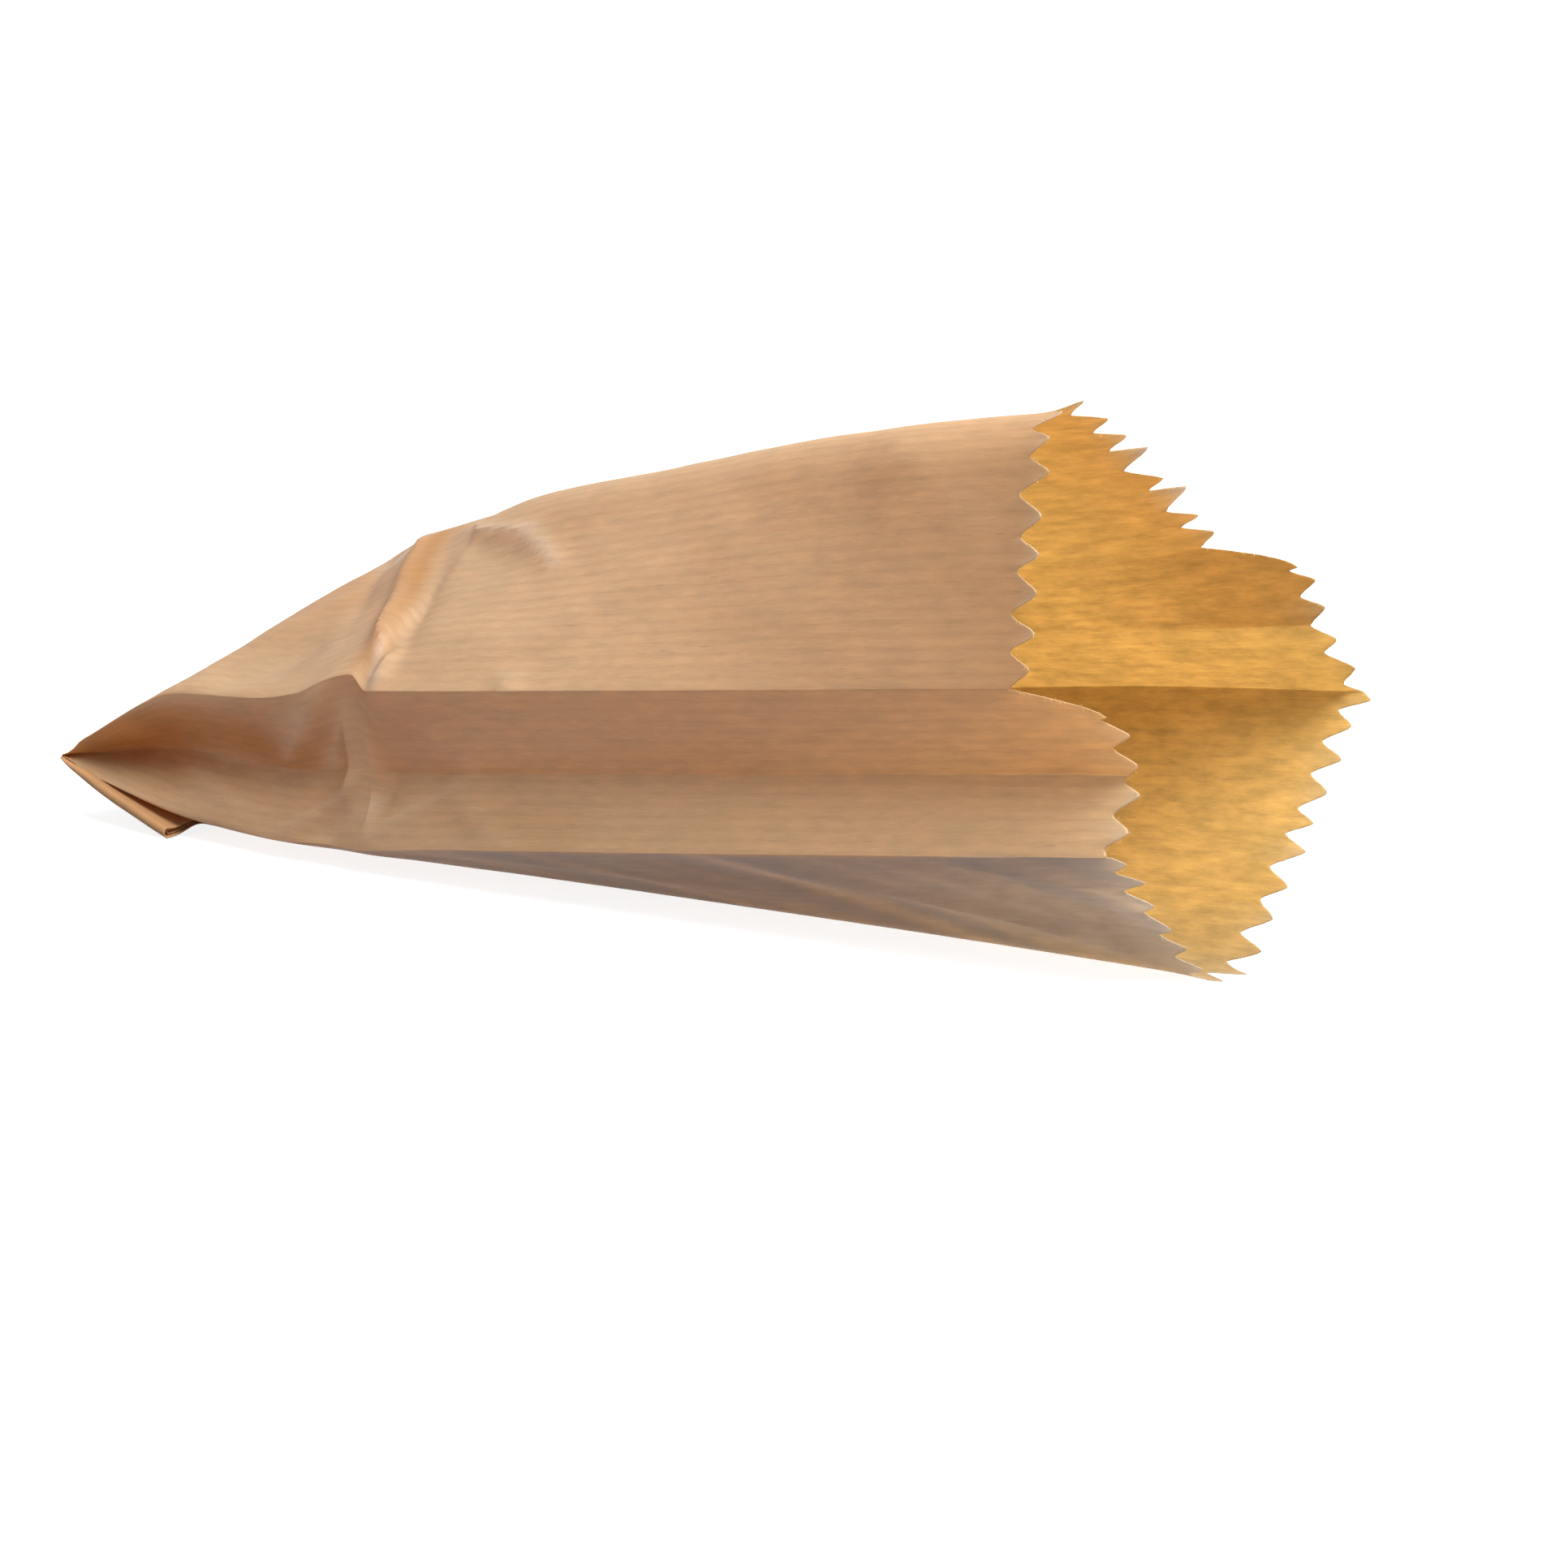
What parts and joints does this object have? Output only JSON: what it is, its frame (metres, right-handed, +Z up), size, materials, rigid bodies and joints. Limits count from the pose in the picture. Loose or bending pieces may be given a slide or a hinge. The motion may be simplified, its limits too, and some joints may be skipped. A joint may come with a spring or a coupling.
{
  "type": "paper bag",
  "caption": "Small gusseted kraft paper bag lying on its back panel, flat and sealed at one end with the hem folded under, held open at a saw-cut mouth.",
  "frame": {"origin": "middle of the footprint, on the table", "axes": "+X from the closed end to the mouth, +Z up from the back panel to the ridge of the front panel"},
  "size_m": [0.237, 0.0956, 0.0906],
  "materials": {
    "kraft_paper": "thin brown ribbed kraft, machine glazed on the outside"
  },
  "bodies": {
    "root": {"paper_bag": "kraft_paper"}
  },
  "joints": []
}
